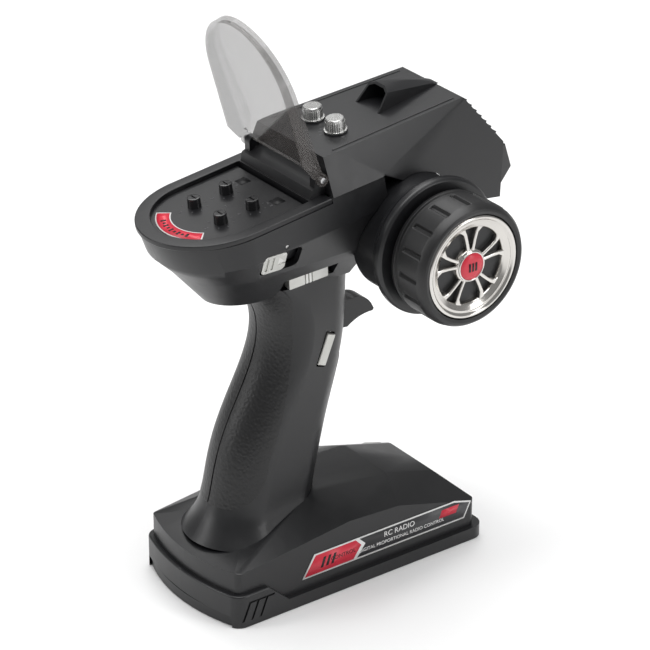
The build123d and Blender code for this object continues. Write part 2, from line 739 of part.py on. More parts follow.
def channel_dial(x, y):
    """Knurled metal dial with a thin flange at its foot, bored for its shaft."""
    plane = deck_plane(x, y)
    with BuildPart() as dial:
        with BuildSketch(plane.offset(GAP)):
            Circle(DIAL_FLANGE)
        extrude(amount=0.8)
        with BuildSketch(plane.offset(GAP)):
            Circle(DIAL_RADIUS)
            with PolarLocations(DIAL_RADIUS, 28):
                Rectangle(0.5, 0.42, mode=Mode.SUBTRACT)
        extrude(amount=DIAL_HEIGHT - 0.6)
        with BuildSketch(plane.offset(GAP + DIAL_HEIGHT - 0.6)):
            Circle(DIAL_RADIUS - 0.25)
        extrude(amount=1.2)
        chamfer(dial.edges().filter_by(GeomType.CIRCLE).sort_by(Axis.Z)[-1], 0.35)
        with BuildSketch(plane.offset(GAP - 0.1)):
            Circle(DIAL_SHAFT_RADIUS + RUNNING)
        extrude(amount=DIAL_HEIGHT - 1.0, mode=Mode.SUBTRACT)
    return dial.part


with BuildPart() as trim_pots:
    for x, y in KNOB_PLACES:
        with BuildSketch(pan_plane(x, y).offset(-PANEL_THICKNESS - 4.0)):
            Rectangle(7.0, 7.0)
        extrude(amount=4.0)
        with BuildSketch(pan_plane(x, y).offset(-PANEL_THICKNESS - 0.5)):
            Circle(KNOB_SHAFT)
        extrude(amount=PANEL_THICKNESS + KNOB_HEIGHT - 2.0)

with BuildPart() as dial_pots:
    for x, y in DIAL_PLACES:
        with BuildSketch(deck_plane(x, y).offset(-WALL - 5.0)):
            Circle(4.6)
        extrude(amount=5.0)
        with BuildSketch(deck_plane(x, y).offset(-WALL - 0.5)):
            Circle(DIAL_SHAFT_RADIUS)
        extrude(amount=WALL + DIAL_HEIGHT - 0.8)


def pan_switch(x, y):
    """Small slide-switch lever, standing at the left end of its slot."""
    with BuildPart() as lever:
        with BuildSketch(pan_plane(x - 1.6, y).offset(-PANEL_THICKNESS)):
            RectangleRounded(2.4, 1.8, 0.3)
        extrude(amount=PANEL_THICKNESS + 1.8)
        with BuildSketch(pan_plane(x - 1.6, y).offset(GAP)):
            RectangleRounded(3.2, 3.4, 0.4)
        extrude(amount=1.9)
        with BuildSketch(pan_plane(x - 1.6, y).offset(GAP + 1.3)):
            with GridLocations(1.0, 1.0, 3, 1):
                Rectangle(0.35, 4.0)
        extrude(amount=1.0, mode=Mode.SUBTRACT)
    return lever.part


with BuildPart() as pan_switch_bodies:
    for x, y in SWITCH_PLACES:
        with BuildSketch(pan_plane(x, y).offset(-PANEL_THICKNESS - 4.0)):
            Rectangle(9.0, 4.4)
        extrude(amount=4.0 - GAP)

# ---------------------------------------------------------------------
# Lid of the control pan, standing open
# ---------------------------------------------------------------------
LID_EDGE_CLEARANCE = 0.35
LID_ROOF = 0.6
LID_ARM_INNER = 23.9
LID_NOTCH = 3.4
RIM_BELOW_AXIS = (LID_AXIS_Z - rim_z(LID_AXIS_Y)) * cos(radians(TILT))
LID_OPEN = LID_REST_ANGLE - TILT
lid_plane = Plane(
    origin=(0, LID_AXIS_Y, LID_AXIS_Z),
    x_dir=(1, 0, 0),
    z_dir=(0, sin(radians(LID_OPEN)), cos(radians(LID_OPEN))),
)

lid_roof_plane = Plane(
    origin=lid_plane.origin + lid_plane.z_dir * LID_ROOF,
    x_dir=(1, 0, 0),
    z_dir=(0, sin(radians(LID_OPEN - LID_ROOF_FALL)), cos(radians(LID_OPEN - LID_ROOF_FALL))),
)

with BuildPart() as lid_hollow:
    with BuildSketch(lid_plane.offset(LID_ROOF)):
        add(head_outline(LID_HALF_WIDTH - 1.3, 5.0, LID_TIP_DEPTH - LID_LENGTH, LID_TIP_DEPTH - 1.3))
    extrude(amount=-RIM_BELOW_AXIS - LID_ROOF)
    split(bisect_by=lid_roof_plane.offset(-LID_THICKNESS), keep=Keep.BOTTOM)

with BuildPart() as lid:
    with BuildSketch(lid_plane.offset(LID_ROOF)):
        add(head_outline(LID_HALF_WIDTH, -2.2, LID_TIP_DEPTH - LID_LENGTH, LID_TIP_DEPTH))
    extrude(amount=-RIM_BELOW_AXIS - LID_ROOF + LID_EDGE_CLEARANCE)
    split(bisect_by=lid_roof_plane, keep=Keep.BOTTOM)
    add(lid_hollow.part, mode=Mode.SUBTRACT)
    # side walls run down to a slant near the hinge
    lid_side_plane = Plane(origin=lid_plane.origin, x_dir=lid_plane.y_dir, z_dir=(1, 0, 0))
    with BuildSketch(lid_side_plane.offset(-FAR / 2)):
        with BuildLine():
            Polyline((-2.0, -3.4), (-12.0, -8.0), (4.0, -8.0), (4.0, -3.4), close=True)
        make_face()
    extrude(amount=FAR, mode=Mode.SUBTRACT)
    for side in (1, -1):
        low = min(side * LID_ARM_INNER, side * LID_HALF_WIDTH)
        add(yz_cylinder(LID_AXIS_Y, LID_AXIS_Z, LUG_RADIUS, low, low + LID_HALF_WIDTH - LID_ARM_INNER))
        with BuildSketch(lid_plane.offset(LID_ROOF)):
            with Locations((side * (LUG_INNER + LID_ARM_INNER - 0.6) / 2, -2.0)):
                Rectangle(LID_ARM_INNER - LUG_INNER + 0.6, 2 * LID_NOTCH)
        extrude(amount=-4.0, mode=Mode.SUBTRACT)
        with BuildSketch(lid_plane.offset(LID_ROOF)):
            with Locations((side * (LID_HALF_WIDTH + LID_ARM_INNER) / 2, -2.0)):
                Rectangle(LID_HALF_WIDTH - LID_ARM_INNER, 4.0)
        extrude(amount=-3.0)
        bore = yz_cylinder(LID_AXIS_Y, LID_AXIS_Z, LID_PIN_RADIUS + RUNNING, side * 25 - 6, side * 25 + 6)
        add(bore, mode=Mode.SUBTRACT)

with BuildPart() as hinge_pins:
    for start, end in ((-LID_HALF_WIDTH, -PIN_START), (PIN_START, LID_HALF_WIDTH)):
        add(yz_cylinder(LID_AXIS_Y, LID_AXIS_Z, LID_PIN_RADIUS, start, end))


# ---------------------------------------------------------------------
# Steering wheel, its mount and what centres it
# ---------------------------------------------------------------------
SPOKES = 5
TREAD_BLOCKS = 22
WHEEL_BACK = WHEEL_FACE - TYRE_WIDTH
HUB_CAP_RADIUS = 5.4
BOSS_WALL = 2.4
MOUNT_FOOT = NOSE_HALF_WIDTH
SENSOR_RADIUS = 8.0
SENSOR_LENGTH = 7.0
BEARING_RADIUS = 5.0
BEARING_START = 33.0
SHAFT_END = 29.0

wheel_plane = Plane(origin=(0, WHEEL_Y, WHEEL_Z), x_dir=(0, 1, 0), z_dir=(1, 0, 0))


def wheel_ring(points):
    """Body of revolution about the steering axis from (radius, station along X) corner points."""
    profile_plane = Plane(origin=(0, WHEEL_Y, WHEEL_Z), x_dir=(0, 1, 0), z_dir=(0, 0, -1))
    with BuildPart() as ring:
        with BuildSketch(profile_plane):
            with BuildLine():
                Polyline(*points, close=True)
            make_face()
        revolve(axis=Axis((0, WHEEL_Y, WHEEL_Z), (1, 0, 0)))
    return ring.part


with BuildPart() as wheel_mount:
    flange_back = FLANGE_FACE - FLANGE_THICKNESS
    add(wheel_ring((
        (SENSOR_RADIUS + 1.0, MOUNT_FOOT),
        (BOSS_RADIUS, MOUNT_FOOT),
        (BOSS_RADIUS, flange_back - 3.0),
        (BOSS_RADIUS + 1.4, flange_back - 3.0),
        (BOSS_RADIUS + 1.4, flange_back - 1.4),
        (FLANGE_RADIUS - 1.0, flange_back),
        (FLANGE_RADIUS, flange_back + 1.0),
        (FLANGE_RADIUS, FLANGE_FACE - 1.0),
        (FLANGE_RADIUS - 1.0, FLANGE_FACE),
        (SHAFT_RADIUS + RUNNING, FLANGE_FACE),
        (SHAFT_RADIUS + RUNNING, BEARING_START),
        (BEARING_RADIUS, BEARING_START),
        (BEARING_RADIUS, FLANGE_FACE - BOSS_WALL),
        (BOSS_RADIUS - BOSS_WALL, FLANGE_FACE - BOSS_WALL),
        (BOSS_RADIUS - BOSS_WALL, MOUNT_FOOT + BOSS_WALL),
        (SENSOR_RADIUS + 1.0, MOUNT_FOOT + BOSS_WALL),
    )))
    # the boss is cut away where it passes behind the flank of the head
    add(head_body(0.0), mode=Mode.SUBTRACT)

with BuildPart() as tyre:
    add(wheel_ring((
        (RIM_RADIUS + 0.2, WHEEL_BACK + 0.6),
        (TYRE_RADIUS - 0.9, WHEEL_BACK + 0.6),
        (TYRE_RADIUS, WHEEL_BACK + 1.6),
        (TYRE_RADIUS, WHEEL_FACE - 5.4),
        (TYRE_RADIUS - 1.3, WHEEL_FACE - 1.6),
        (RIM_RADIUS + 2.4, WHEEL_FACE - 0.8),
        (RIM_RADIUS + 0.2, WHEEL_FACE - 0.8),
    )))
    with BuildSketch(wheel_plane.offset(WHEEL_BACK)):
        with PolarLocations(TYRE_RADIUS, TREAD_BLOCKS):
            Rectangle(1.6, 1.5, rotation=24)
    extrude(amount=TYRE_WIDTH - 7.0, mode=Mode.SUBTRACT)

with BuildPart() as wheel_rim:
    add(wheel_ring((
        (0.0, WHEEL_FACE - 4.2),
        (RIM_RADIUS - 3.0, WHEEL_FACE - 4.2),
        (RIM_RADIUS - 3.0, WHEEL_BACK + 3.0),
        (RIM_RADIUS + 0.2, WHEEL_BACK + 3.0),
        (RIM_RADIUS + 0.2, WHEEL_FACE - 0.4),
        (RIM_RADIUS - 0.6, WHEEL_FACE),
        (RIM_RADIUS - 2.2, WHEEL_FACE),
        (RIM_RADIUS - 2.6, WHEEL_FACE - 1.0),
        (RIM_RADIUS - 4.2, WHEEL_FACE - 1.6),
        (HUB_CAP_RADIUS + 1.6, WHEEL_FACE - 1.6),
        (HUB_CAP_RADIUS + 1.6, WHEEL_FACE - 1.0),
        (HUB_CAP_RADIUS + 0.1, WHEEL_FACE - 1.0),
        (HUB_CAP_RADIUS + 0.1, WHEEL_FACE - 1.8),
        (0.0, WHEEL_FACE - 1.8),
    )))
    # five wide windows and five narrow slots between the split spokes
    with BuildSketch(wheel_plane.offset(WHEEL_FACE - 5.0)):
        with PolarLocations(0.0, SPOKES, start_angle=90.0):
            Polygon((8.4, 1.0), (16.6, 4.6), (16.6, -4.6), (8.4, -1.0), align=None)
        with PolarLocations(0.0, SPOKES, start_angle=90.0 + 180.0 / SPOKES):
            Polygon((9.6, 0.3), (16.6, 2.0), (16.6, -2.0), (9.6, -0.3), align=None)
    extrude(amount=6.0, mode=Mode.SUBTRACT)

with BuildPart() as wheel_hub:
    add(wheel_ring((
        (0.0, WHEEL_FACE - 8.0),
        (RIM_RADIUS - 3.1, WHEEL_FACE - 8.0),
        (RIM_RADIUS - 3.1, WHEEL_FACE - 4.2),
        (0.0, WHEEL_FACE - 4.2),
    )))
    add(wheel_ring((
        (SHAFT_RADIUS, WHEEL_BACK + 2.0),
        (SHAFT_RADIUS + 3.4, WHEEL_BACK + 2.0),
        (SHAFT_RADIUS + 3.4, WHEEL_FACE - 7.5),
        (SHAFT_RADIUS, WHEEL_FACE - 7.5),
    )))

with BuildPart() as hub_cap:
    add(wheel_ring((
        (0.0, WHEEL_FACE - 1.8),
        (HUB_CAP_RADIUS, WHEEL_FACE - 1.8),
        (HUB_CAP_RADIUS, WHEEL_FACE - 0.9),
        (HUB_CAP_RADIUS - 1.6, WHEEL_FACE - 0.4),
        (0.0, WHEEL_FACE - 0.3),
    )))

with BuildPart() as wheel_shaft:
    add(yz_cylinder(WHEEL_Y, WHEEL_Z, SHAFT_RADIUS, SHAFT_END, WHEEL_FACE - 8.0))

with BuildPart() as steering_sensor:
    add(yz_cylinder(WHEEL_Y, WHEEL_Z, SENSOR_RADIUS, SHAFT_END - SENSOR_LENGTH, SHAFT_END - GAP))

with BuildPart() as centring_spring:
    add(wheel_ring((
        (BEARING_RADIUS + 0.4, BEARING_START + 0.6),
        (BEARING_RADIUS + 2.6, BEARING_START + 0.6),
        (BEARING_RADIUS + 2.6, FLANGE_FACE - BOSS_WALL - 0.4),
        (BEARING_RADIUS + 0.4, FLANGE_FACE - BOSS_WALL - 0.4),
    )))

# ---------------------------------------------------------------------
# Trigger
# ---------------------------------------------------------------------
TRIGGER_PIN_RADIUS = 1.5
TRIGGER_PIN_REACH = 8.4

with BuildPart() as trigger:
    with BuildSketch(Plane.YZ.offset(-TRIGGER_HALF_WIDTH)):
        with Locations(TRIGGER_AXIS):
            Circle(4.4)
        with BuildLine():
            Polyline((-1.6, 120.6), (4.0, 108.0), (6.6, 101.6), (12.4, 101.0))
            ThreePointArc((12.4, 101.0), (18.0, 103.8), (25.0, 104.6))
            Polyline((25.0, 104.6), (25.7, 105.6), (25.0, 106.8))
            ThreePointArc((25.0, 106.8), (21.6, 111.2), (16.0, 113.4))
            ThreePointArc((16.0, 113.4), (9.6, 114.6), (6.2, 121.0))
            Line((6.2, 121.0), (-1.6, 120.6))
        make_face()
    extrude(amount=2 * TRIGGER_HALF_WIDTH)
    trigger_bore = yz_cylinder(*TRIGGER_AXIS, TRIGGER_PIN_RADIUS + RUNNING, -SLOT_HALF_WIDTH, SLOT_HALF_WIDTH)
    add(trigger_bore, mode=Mode.SUBTRACT)

with BuildPart() as trigger_pin:
    add(yz_cylinder(*TRIGGER_AXIS, TRIGGER_PIN_RADIUS, -TRIGGER_PIN_REACH, TRIGGER_PIN_REACH))

with BuildPart() as throttle_sensor:
    add(yz_cylinder(*TRIGGER_AXIS, 3.6, TRIGGER_HALF_WIDTH + 0.5, TRIGGER_PIN_REACH - 0.6))
    add(yz_cylinder(*TRIGGER_AXIS, TRIGGER_PIN_RADIUS, 0, TRIGGER_PIN_REACH + 1), mode=Mode.SUBTRACT)

with BuildPart() as trigger_spring:
    add(yz_cylinder(*TRIGGER_AXIS, 3.4, -TRIGGER_PIN_REACH + 0.6, -TRIGGER_HALF_WIDTH - 0.5))
    add(yz_cylinder(*TRIGGER_AXIS, TRIGGER_PIN_RADIUS + 0.4, -TRIGGER_PIN_REACH, 0), mode=Mode.SUBTRACT)

# ---------------------------------------------------------------------
# Switches on the right flank
# ---------------------------------------------------------------------
with BuildPart() as power_slider:
    with BuildSketch(power_plane.offset(-1.6)):
        with Locations((-3.2, 0)):
            RectangleRounded(*POWER_LEVER, 1.8)
    extrude(amount=2.6)
    with BuildSketch(power_plane.offset(0.6)):
        with Locations((-6.6, 0), (-4.0, 0)):
            SlotOverall(6.4, 1.1, rotation=90)
        with Locations((0.0, 0)):
            Triangle(c=5.6, b=4.0, a=4.0, rotation=-90)
    extrude(amount=1.0, mode=Mode.SUBTRACT)

with BuildPart() as power_switch_body:
    with BuildSketch(power_plane.offset(-6.4)):
        Rectangle(20.0, 9.0)
    extrude(amount=3.4)

with BuildPart() as power_led:
    with BuildSketch(power_plane.offset(-3.0)):
        with Locations((1.6, 6.6)):
            Circle(0.8)
    extrude(amount=3.4)

with BuildPart() as aux_slider:
    with BuildSketch(aux_plane.offset(14.2)):
        RectangleRounded(*AUX_SIZE, 0.5)
    extrude(amount=AUX_OUTER - 14.2)
    with BuildSketch(aux_plane.offset(AUX_OUTER - 0.5)):
        with Locations((-1.6, 0), (0, 0), (1.6, 0)):
            Rectangle(0.6, AUX_SIZE[1] + 1)
    extrude(amount=1.0, mode=Mode.SUBTRACT)

with BuildPart() as aux_switch_body:
    with BuildSketch(aux_plane.offset(6.6)):
        Rectangle(24.0, 6.4)
    extrude(amount=4.6)

with BuildPart() as grip_button:
    with BuildSketch(button_plane.offset(10.4)):
        RectangleRounded(*BUTTON_SIZE, 0.6)
    extrude(amount=BUTTON_OUTER - 10.4)
    chamfer(grip_button.faces().sort_by(Axis.X)[-1].edges(), 0.3)

with BuildPart() as grip_button_switch:
    with BuildSketch(button_plane.offset(5.0)):
        Rectangle(15.0, 6.0)
    extrude(amount=4.0)

# ---------------------------------------------------------------------
# Base contents and door
# ---------------------------------------------------------------------
BOX_WALL = 1.2
CONTACT_THICKNESS = 0.4

with BuildPart() as battery_door:
    with BuildSketch(Plane.XY):
        add(bowed_outline(DOOR_HALF_WIDTH, DOOR_FRONT, TRAY_REAR, TRAY_BOW, 0))
    extrude(amount=DOOR_THICKNESS)
    with BuildSketch(Plane.XY):
        add(bowed_outline(DOOR_HALF_WIDTH, DOOR_LIP_FRONT, TRAY_REAR, TRAY_BOW, 0))
    extrude(amount=DOOR_LIP)
    with BuildSketch(Plane.XY):
        with Locations((0, -50.0)):
            with GridLocations(0, 2.4, 1, 5):
                Rectangle(22.0, 1.0)
    extrude(amount=0.5, mode=Mode.SUBTRACT)

with BuildPart() as battery_box:
    with BuildSketch(Plane.XY.offset(DOOR_THICKNESS + 2 * GAP)):
        Rectangle(2 * BAY_HALF_WIDTH, 2 * BAY_HALF_LENGTH)
    extrude(amount=BAY_TOP - DOOR_THICKNESS)
    with BuildSketch(Plane.XY.offset(DOOR_THICKNESS + 2 * GAP)):
        Rectangle(2 * (BAY_HALF_WIDTH - BOX_WALL), 2 * (BAY_HALF_LENGTH - BOX_WALL))
    extrude(amount=BAY_TOP - DOOR_THICKNESS - BOX_WALL, mode=Mode.SUBTRACT)

cell_rows = [CELL_PITCH * (index - (CELL_COUNT - 1) / 2) for index in range(CELL_COUNT)]

with BuildPart() as battery_cells:
    for y in cell_rows:
        add(yz_cylinder(y, CELL_HEIGHT, CELL_RADIUS, -CELL_LENGTH / 2, CELL_LENGTH / 2 - 1.2))
        add(yz_cylinder(y, CELL_HEIGHT, 2.6, CELL_LENGTH / 2 - 1.2, CELL_LENGTH / 2))

with BuildPart() as battery_contacts:
    for side in (1, -1):
        inner_face = BAY_HALF_WIDTH - BOX_WALL
        with BuildSketch(Plane.YZ.offset(inner_face - CONTACT_THICKNESS if side > 0 else -inner_face)):
            with Locations(*[(y, CELL_HEIGHT) for y in cell_rows]):
                Rectangle(10.0, 9.0)
        extrude(amount=CONTACT_THICKNESS)
        for y in cell_rows:
            reach = BAY_HALF_WIDTH - BOX_WALL - CONTACT_THICKNESS
            low = min(side * reach, side * CELL_LENGTH / 2)
            add(yz_cylinder(y, CELL_HEIGHT, 2.0, low, low + reach - CELL_LENGTH / 2))

BOARD_HEIGHT = 168.0

with BuildPart() as main_board:
    with BuildSketch(Plane.XY.offset(BOARD_HEIGHT)):
        with Locations((0, 16.0)):
            Rectangle(34.0, 44.0)
    extrude(amount=1.6)
    with BuildSketch(Plane.XY.offset(BOARD_HEIGHT + 1.6)):
        with Locations((-6.0, 8.0)):
            Rectangle(12.0, 12.0)
        with Locations((8.0, 26.0)):
            Rectangle(9.0, 7.0)
    extrude(amount=2.0)

with BuildPart() as antenna:
    add(yz_cylinder(40.0, 184.0, 1.4, -14.0, 14.0))

# ---------------------------------------------------------------------
# Labels
# ---------------------------------------------------------------------
LABEL_THICKNESS = 0.4
LABEL_LOW = 10.4
LABEL_HIGH = 20.2


def side_label(side):
    """Slanted name strip on one flank of the base."""
    with BuildPart() as label:
        with BuildSketch(Plane.YZ.offset(side * BASE_HALF_WIDTH - (LABEL_THICKNESS if side < 0 else 0))):
            with BuildLine():
                Polyline(
                    (-30.0, LABEL_LOW),
                    (53.0, LABEL_LOW),
                    (56.5, 17.6),
                    (48.0, LABEL_HIGH),
                    (-24.0, LABEL_HIGH),
                    close=True,
                )
            make_face()
        extrude(amount=LABEL_THICKNESS)
    return label.part


with BuildPart() as side_label_right:
    add(side_label(1))

with BuildPart() as side_label_left:
    add(side_label(-1))

with BuildPart() as pan_label:
    with BuildSketch(pan_plane(0, RIM_REAR_CENTRE)):
        with BuildLine():
            outer = CenterArc((0, 0), 21.5, 225, 90)
            inner = CenterArc((0, 0), 15.5, 230, 80)
            Line(outer @ 0, inner @ 0)
            Line(outer @ 1, inner @ 1)
        make_face()
    extrude(amount=0.3)

# =====================================================================
# Write every piece to its own file
# =====================================================================
pieces = {
    "right_shell": right_shell.part,
    "left_shell": left_shell.part,
    "shell_screws": shell_screws.part,
    "grip_pad_right": grip_pad_right.part,
    "grip_pad_left": grip_pad_left.part,
    "finger_strip": finger_strip.part,
    "top_cover": top_cover.part,
    "front_bezel": front_bezel.part,
    "control_panel": control_panel.part,
    "pan_label": pan_label.part,
    "side_label_right": side_label_right.part,
    "side_label_left": side_label_left.part,
    "lid": lid.part,
    "hinge_pins": hinge_pins.part,
    "trim_pots": trim_pots.part,
    "dial_pots": dial_pots.part,
    "pan_switch_bodies": pan_switch_bodies.part,
    "wheel_mount": wheel_mount.part,
    "tyre": tyre.part,
    "wheel_rim": wheel_rim.part,
    "wheel_hub": wheel_hub.part,
    "hub_cap": hub_cap.part,
    "wheel_shaft": wheel_shaft.part,
    "steering_sensor": steering_sensor.part,
    "centring_spring": centring_spring.part,
    "trigger": trigger.part,
    "trigger_pin": trigger_pin.part,
    "trigger_spring": trigger_spring.part,
    "throttle_sensor": throttle_sensor.part,
    "power_slider": power_slider.part,
    "power_switch_body": power_switch_body.part,
    "power_led": power_led.part,
    "aux_slider": aux_slider.part,
    "aux_switch_body": aux_switch_body.part,
    "grip_button": grip_button.part,
    "grip_button_switch": grip_button_switch.part,
    "battery_door": battery_door.part,
    "battery_box": battery_box.part,
    "battery_cells": battery_cells.part,
    "battery_contacts": battery_contacts.part,
    "main_board": main_board.part,
    "antenna": antenna.part,
}
for index, (x, y) in enumerate(KNOB_PLACES, start=1):
    pieces[f"trim_knob_{index}"] = trim_knob(x, y)
for index, (x, y) in enumerate(DIAL_PLACES, start=1):
    pieces[f"channel_dial_{index}"] = channel_dial(x, y)
for index, (x, y) in enumerate(SWITCH_PLACES, start=1):
    pieces[f"pan_switch_{index}"] = pan_switch(x, y)

os.makedirs("parts", exist_ok=True)
for name, piece in pieces.items():
    piece.label = name
    export_step(piece, f"parts/{name}.step")
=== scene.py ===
import json
from math import atan, cos, pi, radians, sin, tau

import bmesh
import bpy
from mathutils import Matrix, Vector


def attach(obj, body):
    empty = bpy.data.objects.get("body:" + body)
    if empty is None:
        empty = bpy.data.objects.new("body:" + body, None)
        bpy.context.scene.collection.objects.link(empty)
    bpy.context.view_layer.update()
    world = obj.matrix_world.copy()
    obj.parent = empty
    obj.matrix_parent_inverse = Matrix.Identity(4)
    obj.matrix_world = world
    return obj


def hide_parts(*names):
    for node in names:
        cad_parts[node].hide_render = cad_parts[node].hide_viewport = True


MM = 0.001

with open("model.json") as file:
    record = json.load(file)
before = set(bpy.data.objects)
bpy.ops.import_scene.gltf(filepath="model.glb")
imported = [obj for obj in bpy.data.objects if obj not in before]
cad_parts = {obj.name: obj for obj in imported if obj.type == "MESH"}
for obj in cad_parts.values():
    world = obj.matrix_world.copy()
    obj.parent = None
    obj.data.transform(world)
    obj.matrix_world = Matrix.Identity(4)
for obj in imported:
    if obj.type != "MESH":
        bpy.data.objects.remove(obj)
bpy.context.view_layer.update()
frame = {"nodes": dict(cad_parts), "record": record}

# ---------------------------------------------------------------------
# Places shared with the CAD frame, in millimetres
# ---------------------------------------------------------------------
WHEEL_Y = 26.6
WHEEL_Z = 147.8
RIM_SLOPE = 0.125
RIM_HEIGHT = 175.8
PAN_DEPTH = 5.3
PAN_REAR_CENTRE = -50.0
DECK_HEIGHT = 190.0
DECK_SLOPE = 0.092
KNOB_PLACES = ((-8.9, -51.4), (8.9, -51.4), (-8.9, -36.5), (8.9, -36.5))
DIAL_PLACES = ((-7.4, 3.7), (7.4, 3.7))
PAN_SWITCH_X = (-11.5, 11.5)

# ---------------------------------------------------------------------
# Materials
# ---------------------------------------------------------------------
BROAD_RATIO = 0.06  # scale of the broad variation over that of the fine grain
WEAR_START = 0.52  # pointiness at which an edge begins to look worn
WEAR_FULL = 0.62
MIX_FACTOR, MIX_A, MIX_B = 0, 6, 7  # input sockets of a colour mix
MIX_RESULT = 2  # output socket of a colour mix


def node(tree, kind, inputs=None, **settings):
    """Adds a shader node with settings and fixed input values."""
    made = tree.nodes.new(kind)
    for name, value in settings.items():
        setattr(made, name, value)
    for name, value in (inputs or {}).items():
        made.inputs[name].default_value = value
    return made


def surface(name, colour, roughness, metallic=0.0, grain=900.0, depth=0.08, spread=0.06, tint=0.12,
            wear=0.25, pattern="noise", alpha=1.0, coat=0.0):
    """Procedural material with varied colour and roughness, worn edges and a bump texture.

    depth is the bump's height in millimetres, tint and spread are how far colour and roughness
    vary, and wear is how strongly sharp edges are lightened.
    """
    made = bpy.data.materials.new(name)
    made.use_nodes = True
    tree = made.node_tree
    shader = tree.nodes["Principled BSDF"]
    shader.inputs["Metallic"].default_value = metallic
    shader.inputs["Alpha"].default_value = alpha
    shader.inputs["Coat Weight"].default_value = coat
    link = tree.links.new
    place = node(tree, "ShaderNodeTexCoord").outputs["Object"]
    broad = node(tree, "ShaderNodeTexNoise",
                 {"Scale": grain * BROAD_RATIO, "Detail": 4.0, "Roughness": 0.6})
    link(place, broad.inputs["Vector"])
    if pattern == "noise":
        fine = node(tree, "ShaderNodeTexNoise", {"Scale": grain, "Detail": 3.0, "Roughness": 0.55})
        height = fine.outputs["Fac"]
    else:
        fine = node(tree, "ShaderNodeTexVoronoi", {"Scale": grain, "Randomness": 1.0},
                    feature="SMOOTH_F1")
        height = fine.outputs["Distance"]
    link(place, fine.inputs["Vector"])
    # colour: broad variation, then lighter worn edges
    varied = node(tree, "ShaderNodeMix", data_type="RGBA")
    dark = [c * (1 - tint) for c in colour]
    light = [min(1.0, c * (1 + tint) + 0.002) for c in colour]
    varied.inputs[MIX_A].default_value = (*dark, 1)
    varied.inputs[MIX_B].default_value = (*light, 1)
    link(broad.outputs["Fac"], varied.inputs[MIX_FACTOR])
    edge = node(tree, "ShaderNodeNewGeometry").outputs["Pointiness"]
    edge_range = node(tree, "ShaderNodeMapRange", {
        "From Min": WEAR_START, "From Max": WEAR_FULL, "To Min": 0.0, "To Max": wear,
    })
    link(edge, edge_range.inputs["Value"])
    worn = node(tree, "ShaderNodeMix", data_type="RGBA")
    worn.inputs[MIX_B].default_value = (*[min(1.0, c * 2.2 + 0.03) for c in colour], 1)
    link(edge_range.outputs["Result"], worn.inputs[MIX_FACTOR])
    link(varied.outputs[MIX_RESULT], worn.inputs[MIX_A])
    link(worn.outputs[MIX_RESULT], shader.inputs["Base Color"])
    rough = node(tree, "ShaderNodeMapRange", {
        "To Min": max(0.02, roughness - spread), "To Max": roughness + spread,
    })
    link(broad.outputs["Fac"], rough.inputs["Value"])
    link(rough.outputs["Result"], shader.inputs["Roughness"])
    bump = node(tree, "ShaderNodeBump", {"Strength": 1.0, "Distance": depth * MM})
    link(height, bump.inputs["Height"])
    link(bump.outputs["Normal"], shader.inputs["Normal"])
    return made


LOOKS = {
    "black_shell": dict(colour=(0.0075, 0.0077, 0.0088), roughness=0.36, grain=2600, depth=0.008,
                        tint=0.1, wear=0.06),
    "soft_rubber": dict(colour=(0.006, 0.006, 0.0066), roughness=0.42, grain=820, depth=0.16,
                        pattern="cells", wear=0.05),
    "smoked_clear": dict(colour=(0.10, 0.092, 0.088), roughness=0.1, grain=500, depth=0.001,
                         alpha=0.4, wear=0.0),
    "satin_chrome": dict(colour=(0.62, 0.6, 0.57), roughness=0.16, metallic=1.0, grain=900,
                         depth=0.004, wear=0.2),
    "silver_paint": dict(colour=(0.5, 0.5, 0.475), roughness=0.34, metallic=0.85, grain=3600,
                         depth=0.006, wear=0.3),
    "knurled_metal": dict(colour=(0.56, 0.56, 0.55), roughness=0.26, metallic=1.0, grain=1800,
                          depth=0.01, wear=0.4),
    "tyre_rubber": dict(colour=(0.007, 0.007, 0.0075), roughness=0.42, grain=1500, depth=0.03,
                        wear=0.2),
    "red_print": dict(colour=(0.62, 0.03, 0.055), roughness=0.32, grain=1600, depth=0.004,
                      tint=0.08, wear=0.05),
    "label_film": dict(colour=(0.045, 0.045, 0.048), roughness=0.35, grain=1600, depth=0.004,
                       wear=0.05),
    "white_print": dict(colour=(0.78, 0.78, 0.77), roughness=0.45, grain=1600, depth=0.004,
                        wear=0.0),
    "gloss_black": dict(colour=(0.012, 0.012, 0.013), roughness=0.24, grain=1800, depth=0.006,
                        coat=0.2, wear=0.25),
    "steel": dict(colour=(0.52, 0.52, 0.53), roughness=0.3, metallic=1.0, grain=1500, depth=0.01),
    "spring_steel": dict(colour=(0.45, 0.45, 0.47), roughness=0.32, metallic=1.0, grain=1500,
                         depth=0.01),
    "brass": dict(colour=(0.66, 0.46, 0.2), roughness=0.3, metallic=1.0, grain=1500, depth=0.01),
    "sensor_plastic": dict(colour=(0.01, 0.01, 0.012), roughness=0.45, grain=1500, depth=0.01),
    "board_laminate": dict(colour=(0.02, 0.14, 0.06), roughness=0.4, grain=1200, depth=0.01),
    "cell_can": dict(colour=(0.5, 0.36, 0.16), roughness=0.3, metallic=0.8, grain=1200,
                     depth=0.005),
    "clear_lens": dict(colour=(0.9, 0.9, 0.88), roughness=0.1, grain=900, depth=0.002, wear=0.0),
    "white_cable": dict(colour=(0.03, 0.03, 0.03), roughness=0.5, grain=1200, depth=0.01),
    "dark_print": dict(colour=(0.006, 0.006, 0.007), roughness=0.5, grain=1600, depth=0.004,
                       wear=0.0),
    "pale_print": dict(colour=(0.11, 0.11, 0.115), roughness=0.5, grain=1600, depth=0.004,
                       wear=0.0),
}
MATERIALS = {name: surface(name, **look) for name, look in LOOKS.items()}


